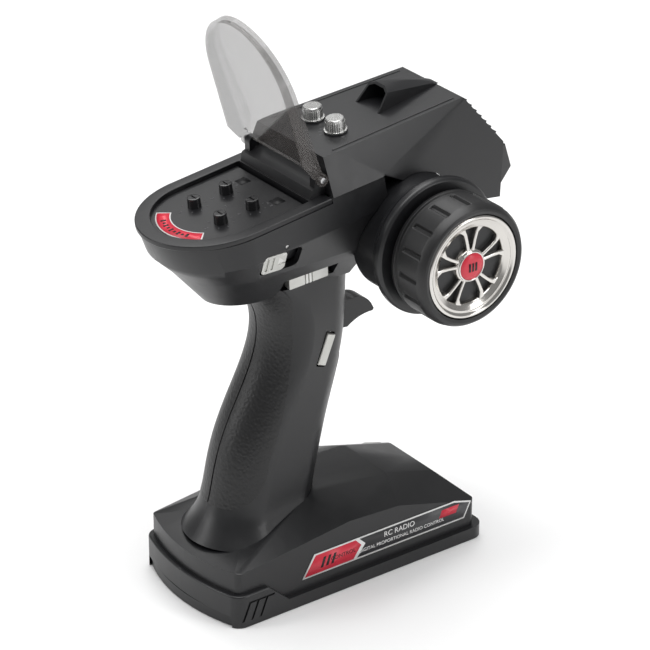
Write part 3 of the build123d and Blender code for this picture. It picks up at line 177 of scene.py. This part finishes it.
def dress(obj, material):
    """Gives an object one material and smooth shading."""
    obj.data.materials.clear()
    obj.data.materials.append(MATERIALS[material])
    for polygon in obj.data.polygons:
        polygon.use_smooth = True


# ---------------------------------------------------------------------
# Mesh helpers
# ---------------------------------------------------------------------
WELD_DISTANCE = 0.002
BEVEL_SEGMENTS = 2
BEVEL_ANGLE = radians(32.0)
NORMAL_WEIGHT = 60
LATHE_STEPS = 96
DOUBLE_DISTANCE = 1e-7  # in metres


def round_edges(obj, width):
    """Rounds the sharp edges of an object with modifiers, leaving its mesh as it is."""
    weld = obj.modifiers.new("weld", "WELD")
    weld.merge_threshold = WELD_DISTANCE * MM
    bevel = obj.modifiers.new("bevel", "BEVEL")
    bevel.width = width * MM
    bevel.segments = BEVEL_SEGMENTS
    bevel.limit_method = "ANGLE"
    bevel.angle_limit = BEVEL_ANGLE
    bevel.harden_normals = False
    bevel.use_clamp_overlap = True
    normals = obj.modifiers.new("normals", "WEIGHTED_NORMAL")
    normals.keep_sharp = False
    normals.weight = NORMAL_WEIGHT


def piece(name, mesh, body, material, bevel=0.0):
    """Links a mesh as a named piece riding on a body, with rounded edges."""
    obj = bpy.data.objects.new(name, mesh)
    bpy.context.scene.collection.objects.link(obj)
    dress(obj, material)
    if bevel:
        round_edges(obj, bevel)
    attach(obj, body)
    return obj


def finished(mesh, name):
    """Named mesh data made from a bmesh, with its faces turned outwards."""
    bmesh.ops.recalc_face_normals(mesh, faces=mesh.faces)
    made = bpy.data.meshes.new(name)
    mesh.to_mesh(made)
    mesh.free()
    return made


def wheel_point(radius, angle, station):
    """Point at a radius and angle about the wheel's axis, station millimetres along it."""
    return (
        station * MM,
        (WHEEL_Y + radius * cos(angle)) * MM,
        (WHEEL_Z + radius * sin(angle)) * MM,
    )


def lathe(name, profile):
    """Mesh of revolution about the wheel's axis from (radius, station) points in millimetres."""
    mesh = bmesh.new()
    rings = []
    for step in range(LATHE_STEPS):
        angle = tau * step / LATHE_STEPS
        rings.append([mesh.verts.new(wheel_point(radius, angle, station))
                      for radius, station in profile])
    for i, a in enumerate(rings):
        b = rings[(i + 1) % LATHE_STEPS]
        for k in range(len(profile)):
            m = (k + 1) % len(profile)
            mesh.faces.new((a[k], a[m], b[m], b[k]))
    bmesh.ops.remove_doubles(mesh, verts=mesh.verts, dist=DOUBLE_DISTANCE)
    return finished(mesh, name)


def ring_grid(name, radius_at, stations, steps):
    """Closed skin about the wheel's axis, with its radius given by station index and step."""
    mesh = bmesh.new()
    rows = []
    for i, station in enumerate(stations):
        rows.append([mesh.verts.new(wheel_point(radius_at(i, step), tau * step / steps, station))
                     for step in range(steps)])
    for i, a in enumerate(rows):
        b = rows[(i + 1) % len(rows)]
        for step in range(steps):
            k = (step + 1) % steps
            mesh.faces.new((a[step], a[k], b[k], b[step]))
    return finished(mesh, name)


def prism(name, outlines, place, depth):
    """Mesh of flat (u, v) outlines in millimetres, raised by depth along the Z of place."""
    mesh = bmesh.new()
    for outline in outlines:
        low = [mesh.verts.new(place @ Vector((u * MM, v * MM, 0))) for u, v in outline]
        high = [mesh.verts.new(place @ Vector((u * MM, v * MM, depth * MM))) for u, v in outline]
        mesh.faces.new(list(reversed(low)))
        mesh.faces.new(high)
        for k in range(len(outline)):
            m = (k + 1) % len(outline)
            mesh.faces.new((low[k], low[m], high[m], high[k]))
    return finished(mesh, name)


def rectangle(left, right, low, high):
    """Outline of an upright rectangle."""
    return [(left, low), (right, low), (right, high), (left, high)]


def polar(radius, angle):
    """Point of an outline at a radius and angle about its origin."""
    return (radius * cos(angle), radius * sin(angle))


def frame_at(origin, x_axis, z_axis):
    """Matrix of a plane at origin (mm) with local X and Z along the given directions."""
    z = Vector(z_axis).normalized()
    x = Vector(x_axis).normalized()
    y = z.cross(x)
    made = Matrix((x, y, z)).transposed().to_4x4()
    made.translation = Vector(origin) * MM
    return made


def sloped_frame(x, y, height, slope, drop=0.0, lift=0.0):
    """Plane at (x, y) on a face that rises with Y, moved drop down and lift up along its normal."""
    tilt = atan(slope)
    z = height + slope * y - drop / cos(tilt)
    return frame_at((x, y - lift * sin(tilt), z + lift * cos(tilt)), (1, 0, 0),
                    (0, -sin(tilt), cos(tilt)))


def pan_frame(x, y, lift=0.0):
    """Plane on the floor of the CAD tub, or lift above it."""
    return sloped_frame(x, y, RIM_HEIGHT, RIM_SLOPE, PAN_DEPTH, lift)


def deck_frame(x, y):
    """Plane on the deck."""
    return sloped_frame(x, y, DECK_HEIGHT, DECK_SLOPE)


def spoke_plane(station):
    """Plane across the wheel's axis at a station, local X forwards and local Z outwards."""
    return frame_at((station, WHEEL_Y, WHEEL_Z), (0, 1, 0), (1, 0, 0))


def words(name, text, size, place, body, material, depth=0.06):
    """Lettering centred on place and raised by depth, riding on a body."""
    curve = bpy.data.curves.new(name, "FONT")
    curve.body = text
    curve.size = size * MM
    curve.extrude = depth * MM
    curve.align_x = "CENTER"
    curve.align_y = "CENTER"
    made = bpy.data.objects.new(name, curve)
    made.matrix_world = place
    bpy.context.scene.collection.objects.link(made)
    made.data.materials.append(MATERIALS[material])
    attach(made, body)


# ---------------------------------------------------------------------
# CAD nodes that stay: material and rounded edges
# ---------------------------------------------------------------------
EDGE_WIDTH = {
    "right_shell": 0.5, "left_shell": 0.5, "top_cover": 0.6, "control_panel": 0.4, "lid": 0.35,
    "trigger": 0.7, "front_bezel": 0.5, "wheel_mount": 0.4, "battery_door": 0.3,
}
OTHER_EDGE_WIDTH = 0.12
slot_of = {entry["node"]: entry["material_slot"] for entry in frame["record"]["subparts"]}
for name, obj in frame["nodes"].items():
    dress(obj, slot_of[name])
    round_edges(obj, EDGE_WIDTH.get(name, OTHER_EDGE_WIDTH))

# ---------------------------------------------------------------------
# Steering wheel: tyre with cut tread, chromed spokes, red centre
# ---------------------------------------------------------------------
TYRE_BACK = 45.0
TREAD_COUNT = 16
TREAD_STEPS = 12  # steps round the tyre from one tread block to the next
GROOVE_STEPS = 2  # how many of those the groove takes

# stations along the tyre with the outer radius of its blocks and of its grooves
TYRE_SECTION = (
    (TYRE_BACK, 21.7, 21.7),
    (TYRE_BACK, 23.6, 23.6),
    (TYRE_BACK + 1.2, 24.9, 24.9),
    (TYRE_BACK + 3.2, 25.5, 25.5),
    (TYRE_BACK + 3.6, 24.6, 24.6),
    (TYRE_BACK + 4.6, 24.6, 24.6),
    (TYRE_BACK + 5.0, 25.5, 25.5),
    (TYRE_BACK + 6.6, 25.6, 25.6),
    (TYRE_BACK + 7.0, 25.6, 24.5),
    (TYRE_BACK + 17.0, 25.6, 24.5),
    (TYRE_BACK + 17.4, 25.4, 25.4),
    (TYRE_BACK + 19.0, 25.1, 25.1),
    (TYRE_BACK + 20.6, 24.0, 24.0),
    (TYRE_BACK + 21.0, 23.0, 23.0),
    (TYRE_BACK + 20.6, 21.7, 21.7),
)


def tyre_radius(index, step):
    """Outer radius of the tyre, dropping into the grooves between tread blocks."""
    _, block, groove = TYRE_SECTION[index]
    return groove if step % TREAD_STEPS < GROOVE_STEPS else block


tyre_skin = ring_grid("tyre_tread", tyre_radius, [row[0] for row in TYRE_SECTION],
                      TREAD_COUNT * TREAD_STEPS)
tyre = piece("tyre_tread", tyre_skin, "steering_wheel", "tyre_rubber", bevel=0.15)
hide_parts("tyre")

SPOKE_COUNT = 5
SPOKE_START = radians(18)
SPOKE_STATION = 61.6
SPOKE_DEPTH = 2.5
# one half spoke from hub to rim: radius, swing off the spoke's centre line in radians, width
HALF_SPOKE = (
    (5.4, 0.17, 1.3), (8.0, 0.17, 1.2), (11.0, 0.18, 1.2),
    (14.0, 0.20, 1.3), (15.6, 0.25, 2.0), (16.8, 0.30, 3.2),
)
WIDTH_SHARE = 1.6  # a width is divided by this to give its reach on each side of the line


def petal(angle, side):
    """Outline of one curved half spoke, on the given side (1 or -1) of its spoke's centre line."""
    left, right = [], []
    for radius, swing, width in HALF_SPOKE:
        turn = angle + side * swing
        offset = width / radius / WIDTH_SHARE
        left.append(polar(radius, turn - offset))
        right.append(polar(radius, turn + offset))
    return left + list(reversed(right))


petals = []
for spoke in range(SPOKE_COUNT):
    angle = tau * spoke / SPOKE_COUNT + SPOKE_START
    petals += [petal(angle, 1), petal(angle, -1)]
piece("rim_spokes", prism("rim_spokes", petals, spoke_plane(SPOKE_STATION), SPOKE_DEPTH),
      "steering_wheel", "satin_chrome", bevel=0.5)

# turned pieces, as (radius, station) sections
RIM_SECTION = (
    (21.5, 46.0), (21.5, 64.8), (21.2, 65.6), (20.5, 65.9), (19.8, 65.6), (19.5, 65.0),
    (18.9, 64.8), (18.6, 65.1), (18.2, 64.8), (16.6, 64.3), (15.9, 63.7), (15.6, 62.4),
    (15.7, 60.5), (18.4, 58.0), (18.4, 47.0),
)
RIM_FLOOR_SECTION = ((18.7, 50.0), (18.7, 52.0), (3.0, 52.0), (3.0, 50.0))
RIM_WELL_SECTION = ((8.4, 52.0), (7.2, 60.0), (7.0, 63.6), (6.4, 64.2), (3.0, 64.2), (3.0, 52.0))
CAP_RADIUS = 6.3
CAP_BACK = 62.0
CAP_SECTION = (
    (0.0, CAP_BACK), (CAP_RADIUS - 0.6, CAP_BACK), (CAP_RADIUS - 0.6, 64.7), (3.6, 65.2),
    (1.6, 65.5), (0.0, 65.6),
)
CAP_RING_SECTION = (
    (CAP_RADIUS - 0.8, CAP_BACK), (CAP_RADIUS, CAP_BACK), (CAP_RADIUS, 64.6),
    (CAP_RADIUS - 0.3, 64.9), (CAP_RADIUS - 0.8, 64.7),
)
rim = piece("rim_ring", lathe("rim_ring", RIM_SECTION), "steering_wheel", "satin_chrome")
piece("rim_floor", lathe("rim_floor", RIM_FLOOR_SECTION), "steering_wheel", "gloss_black")
piece("rim_well", lathe("rim_well", RIM_WELL_SECTION), "steering_wheel", "satin_chrome")
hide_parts("wheel_rim")
cap = piece("cap_dome", lathe("cap_dome", CAP_SECTION), "steering_wheel", "red_print")
piece("cap_ring", lathe("cap_ring", CAP_RING_SECTION), "steering_wheel", "satin_chrome")
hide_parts("hub_cap")

# generic mark on the cap: three short bars
CAP_BAR_PITCH = 1.5
CAP_BAR_WIDTH = 0.8
CAP_BAR_REACH = 1.7
CAP_MARK_STATION = 65.1
cap_bars = []
for index in range(3):
    left = -2.0 + CAP_BAR_PITCH * index
    cap_bars.append(rectangle(left, left + CAP_BAR_WIDTH, -CAP_BAR_REACH, CAP_BAR_REACH))
piece("cap_mark", prism("cap_mark", cap_bars, spoke_plane(CAP_MARK_STATION), 0.6),
      "steering_wheel", "dark_print")

# ---------------------------------------------------------------------
# Side labels: layers that all rise from one plane inside the wall
# ---------------------------------------------------------------------
LABEL_FACE = 31.05
LABEL_FOOT = -0.3
LABEL_TEXT_LIFT = -0.03
BORDER_DEPTH = 0.26
FIELD_DEPTH = 0.28
MARK_DEPTH = 0.3
LABEL_SHAPE = ((-30.0, 10.4), (53.0, 10.4), (56.5, 17.6), (48.0, 20.2), (-24.0, 20.2))
RED_SHAPE = ((-29.0, 11.1), (-4.5, 11.1), (-0.5, 16.6), (-3.4, 19.6), (-23.4, 19.6))
DARK_SHAPE = ((-2.6, 11.1), (52.6, 11.1), (55.6, 17.2), (47.6, 19.6), (-1.4, 19.6), (1.6, 16.6))
TAG_SHAPE = ((39.6, 14.6), (48.6, 14.6), (50.2, 18.2), (41.2, 18.2))
MARK_BAR = ((0.0, 13.0), (1.3, 13.0), (2.9, 17.6), (1.6, 17.6))
MARK_START = -21.0
MARK_PITCH = 2.6
MARK_BARS = [[(MARK_START + MARK_PITCH * index + y, z) for y, z in MARK_BAR] for index in range(3)]


def flank_frame(side, y, z, lift=0.0):
    """Plane on the base's flank, local X along the reading direction."""
    return frame_at((side * (LABEL_FACE + lift), y, z), (0, side, 0), (side, 0, 0))


def label_layer(side, shape):
    """Outline in the label's own plane, mirrored for the left side so that it faces outwards."""
    points = [(side * y, z) for y, z in shape]
    return points if side > 0 else list(reversed(points))


def label_piece(side, hand, layer, shapes, depth, material):
    """One layer of a side label, raised by depth from the label's foot."""
    outlines = [label_layer(side, shape) for shape in shapes]
    foot = flank_frame(side, 0, 0, LABEL_FOOT)
    return piece(f"{layer}_{hand}", prism(layer, outlines, foot, depth), "housing", material)


def label_words(side, hand, name, text, size, along, up, material):
    """One line of lettering on a side label, centred at a place along and up the wall."""
    words(f"{name}_{hand}", text, size, flank_frame(side, along, up, LABEL_TEXT_LIFT),
          "housing", material)


for side, hand, shell in ((1, "right", "side_label_right"), (-1, "left", "side_label_left")):
    border = label_piece(side, hand, "label_border", [LABEL_SHAPE], BORDER_DEPTH, "white_print")
    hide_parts(shell)
    label_piece(side, hand, "label_red", [RED_SHAPE], FIELD_DEPTH, "red_print")
    label_piece(side, hand, "label_dark", [DARK_SHAPE], FIELD_DEPTH, "label_film")
    label_piece(side, hand, "label_tag", [TAG_SHAPE], MARK_DEPTH, "red_print")
    label_words(side, hand, "label_title", "RC RADIO", 3.4, 19.0, 17.1, "white_print")
    label_words(side, hand, "label_line", "DIGITAL PROPORTIONAL RADIO CONTROL", 2.2, 20.4, 13.6,
                "white_print")
    label_piece(side, hand, "label_mark", MARK_BARS, MARK_DEPTH, "dark_print")
    label_words(side, hand, "label_name", "CONTROL", 2.6, -9.6, 15.2, "dark_print")

# ---------------------------------------------------------------------
# Pan: a floor just under the rim, with its labels and scales
# ---------------------------------------------------------------------
PAN_HALF_WIDTH = 23.3
PAN_FLOOR_LIFT = 3.4
PAN_FRONT = -21.1
PAN_REAR_DEPTH = 25.3
PAN_REAR_STEPS = 40
SLOT_HALF_WIDTH = 2.4
SLOT_LOW = 21.0  # the slots of the pan switches, forwards of the rear centre, drawn as dark patches of painted shade
SLOT_HIGH = 25.6
PRINT_DEPTH = 0.06


def pan_outline():
    """Plan outline of the floor about its rear centre: straight flanks, half-ellipse behind."""
    front = PAN_FRONT - PAN_REAR_CENTRE
    rear = []
    for step in range(PAN_REAR_STEPS + 1):
        turn = pi * step / PAN_REAR_STEPS
        rear.append((-PAN_HALF_WIDTH * cos(turn), -PAN_REAR_DEPTH * sin(turn)))
    return rear + [(PAN_HALF_WIDTH, front), (-PAN_HALF_WIDTH, front)]


pan_floor = prism("pan_floor", [pan_outline()], pan_frame(0, PAN_REAR_CENTRE), PAN_FLOOR_LIFT)
piece("pan_floor", pan_floor, "housing", "black_shell", bevel=0.2)
# painted shade: a dark patch over each switch slot stands in for the shadow in its opening
switch_slot_shades = [rectangle(x - SLOT_HALF_WIDTH, x + SLOT_HALF_WIDTH, SLOT_LOW, SLOT_HIGH)
                for x in PAN_SWITCH_X]
piece("pan_switch_slot_shades",
      prism("pan_switch_slot_shades", switch_slot_shades, pan_frame(0, PAN_REAR_CENTRE, PAN_FLOOR_LIFT),
            PRINT_DEPTH),
      "housing", "dark_print")

# arc label at the rear of the pan
ARC_INNER = 15.5
ARC_OUTER = 21.5
ARC_SWEEP = 46.0
ARC_STEPS = 28
ARC_BORDER = 0.5
ARC_BORDER_SWEEP = 1.6
ARC_BAR_RADIUS = 3.0  # outwards from the inner edge
ARC_BAR_PITCH = 6.5
ARC_BAR_TURN = 0.03
ARC_BAR_COUNT = 9


def arc_band(inner, outer, sweep):
    """Outline of a band round the pan's rear centre, sweep degrees either side of the rear."""
    turns = [radians(-90 - sweep + 2 * sweep * k / ARC_STEPS) for k in range(ARC_STEPS + 1)]
    return [polar(outer, t) for t in turns] + [polar(inner, t) for t in reversed(turns)]


arc_place = pan_frame(0, PAN_REAR_CENTRE, PAN_FLOOR_LIFT + 0.02)
arc_edge = piece("arc_label_edge",
                 prism("arc_label_edge", [arc_band(ARC_INNER, ARC_OUTER, ARC_SWEEP)], arc_place,
                       0.2),
                 "housing", "white_print")
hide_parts("pan_label")
red_band = arc_band(ARC_INNER + ARC_BORDER, ARC_OUTER - ARC_BORDER, ARC_SWEEP - ARC_BORDER_SWEEP)
piece("arc_label_red", prism("arc_label_red", [red_band], arc_place, 0.24), "housing", "red_print")
arc_bars = []
for index in range(ARC_BAR_COUNT):
    turn = radians(-90 + (index - ARC_BAR_COUNT // 2) * ARC_BAR_PITCH)
    reach = 0.6 if index % 2 else 1.1
    inner, outer = ARC_INNER + ARC_BAR_RADIUS - reach, ARC_INNER + ARC_BAR_RADIUS + reach
    arc_bars.append([polar(inner, turn - ARC_BAR_TURN), polar(outer, turn - ARC_BAR_TURN),
                     polar(outer, turn + ARC_BAR_TURN), polar(inner, turn + ARC_BAR_TURN)])
piece("arc_label_mark", prism("arc_label_mark", arc_bars, arc_place, 0.28), "housing",
      "dark_print")

# scales round the trim knobs, a rule between them, and marks by the switches
TICK_HALF_WIDTH = 0.14
KNOB_TICKS = (4.4, 5.3)  # inner and outer radius
KNOB_TICK_COUNT = 7
KNOB_TICK_PITCH = 45
KNOB_RULE = (-0.9, 0.9, 7.0, 7.3)
NUMBER_SETBACK = 6.7
SWITCH_TEXT_Y = -30.6
TEXT_LIFT = PAN_FLOOR_LIFT + 0.05


def tick(turn, radii, centre=(0.0, 0.0)):
    """Outline of one line of a scale about centre, between two radii in the direction turn."""
    return [
        (centre[0] + r * cos(turn) - o * sin(turn), centre[1] + r * sin(turn) + o * cos(turn))
        for r, o in rectangle(*radii, -TICK_HALF_WIDTH, TICK_HALF_WIDTH)
    ]


scales = []
for x, y in KNOB_PLACES:
    for index in range(KNOB_TICK_COUNT):
        turn = radians(-135 + KNOB_TICK_PITCH * index + 90)
        scales.append(tick(turn, KNOB_TICKS, (x, y - PAN_REAR_CENTRE)))
scales.append(rectangle(*KNOB_RULE))
piece("pan_scales", prism("pan_scales", scales, arc_place, 0.07), "housing", "pale_print")
for number, (x, y) in enumerate(KNOB_PLACES, start=1):
    words(f"pan_number_{number}", str(number), 2.0, pan_frame(x, y - NUMBER_SETBACK, TEXT_LIFT),
          "housing", "pale_print")
for number, x in enumerate(PAN_SWITCH_X, start=1):
    words(f"pan_switch_text_{number}", "N   R", 1.7, pan_frame(x, SWITCH_TEXT_Y, TEXT_LIFT),
          "housing", "pale_print")

# ---------------------------------------------------------------------
# Deck and side wall
# ---------------------------------------------------------------------
DIAL_TICKS = (5.4, 6.8)  # inner and outer radius
DIAL_TICK_PITCH = 22
for number, (x, y) in enumerate(DIAL_PLACES, start=1):
    scale = [tick(radians(-150 + DIAL_TICK_PITCH * index), DIAL_TICKS) for index in range(3)]
    piece(f"dial_scale_{number}", prism("dial_scale", scale, deck_frame(x, y), PRINT_DEPTH),
          "housing", "pale_print")

# raised line along both edges of the deck
DECK_BORDER = ((19.4, -7.0), (20.1, -7.0), (17.7, 54.0), (17.0, 54.0))
borders = [list(DECK_BORDER), [(-x, y) for x, y in reversed(DECK_BORDER)]]
piece("deck_borders", prism("deck_borders", borders, deck_frame(0, 0), 0.3), "housing",
      "black_shell", bevel=0.1)

# embossed OFF and ON either side of the power slider
POWER_PLACE = (26.55, -37.0, 154.0)
POWER_NORMAL = (0.947, 0.0, -0.321)
EMBOSS_SIZE = 3.8
EMBOSS_LIFT = 0.15
EMBOSS_DEPTH = 0.25


def side_frame(along, across):
    """Plane just off the side wall by the power slider, local X running forwards."""
    made = frame_at(POWER_PLACE, (0, 1, 0), POWER_NORMAL)
    return made @ Matrix.Translation(Vector((along, across, EMBOSS_LIFT)) * MM)


for name, text, place in (("off_text", "OFF", (-11.0, -1.2)), ("on_text", "ON", (12.0, 1.4))):
    words(name, text, EMBOSS_SIZE, side_frame(*place), "housing", "black_shell",
          depth=EMBOSS_DEPTH)

# ---------------------------------------------------------------------
# Camera, light and floor
# ---------------------------------------------------------------------
CAMERA_TARGET = Vector((-2.68, 5.97, 100.99)) * MM
CAMERA_AZIMUTH = radians(53.65)
CAMERA_ELEVATION = radians(27.13)
CAMERA_DISTANCE = 1289.37 * MM
CAMERA_LENS = 177.2
CAMERA_SENSOR = 36.0
LIGHT_AIM = Vector((0, 0, 0.1))
# name, place in metres, size in metres, power in watts
LIGHTS = (
    ("key", (-1.0, 0.5, 1.5), (0.8, 0.8), 6),
    ("left_strip", (-0.7, -1.4, 0.8), (0.4, 1.3), 7),
    ("right_strip", (1.3, 0.7, 0.7), (0.35, 1.2), 6),
    ("top", (0.0, 0.0, 1.6), (1.4, 1.4), 26),
)
WORLD_STRENGTH = 0.3
FLOOR_HALF_SIZE = 6.0
FLOOR_DROP = 0.0002

back = Vector((
    sin(CAMERA_AZIMUTH) * cos(CAMERA_ELEVATION),
    -cos(CAMERA_AZIMUTH) * cos(CAMERA_ELEVATION),
    sin(CAMERA_ELEVATION),
))
camera_data = bpy.data.cameras.new("camera")
camera_data.lens = CAMERA_LENS
camera_data.sensor_width = CAMERA_SENSOR
camera_data.clip_start = 0.05
camera = bpy.data.objects.new("camera", camera_data)
camera.location = CAMERA_TARGET + back * CAMERA_DISTANCE
camera.rotation_mode = "QUATERNION"
camera.rotation_quaternion = (-back).to_track_quat("-Z", "Y")
bpy.context.scene.collection.objects.link(camera)
bpy.context.scene.camera = camera

for name, place, size, power in LIGHTS:
    data = bpy.data.lights.new(name, "AREA")
    data.shape = "RECTANGLE"
    data.size, data.size_y = size
    data.energy = power
    lamp = bpy.data.objects.new(name, data)
    lamp.location = place
    lamp.rotation_mode = "QUATERNION"
    lamp.rotation_quaternion = (LIGHT_AIM - Vector(place)).to_track_quat("-Z", "Y")
    bpy.context.scene.collection.objects.link(lamp)

world = bpy.data.worlds.new("studio")
world.use_nodes = True
background = world.node_tree.nodes["Background"]
background.inputs["Color"].default_value = (1, 1, 1, 1)
background.inputs["Strength"].default_value = WORLD_STRENGTH
bpy.context.scene.world = world
bpy.context.scene.view_settings.view_transform = "Standard"

floor_mesh = bmesh.new()
bmesh.ops.create_grid(floor_mesh, x_segments=1, y_segments=1, size=FLOOR_HALF_SIZE)
floor_data = bpy.data.meshes.new("floor")
floor_mesh.to_mesh(floor_data)
floor_mesh.free()
floor = bpy.data.objects.new("floor", floor_data)
floor.location.z = -FLOOR_DROP
bpy.context.scene.collection.objects.link(floor)
floor_data.materials.append(
    surface("floor_paper", (0.9, 0.9, 0.9), 0.8, grain=60, depth=0.01, tint=0.01, wear=0.0))
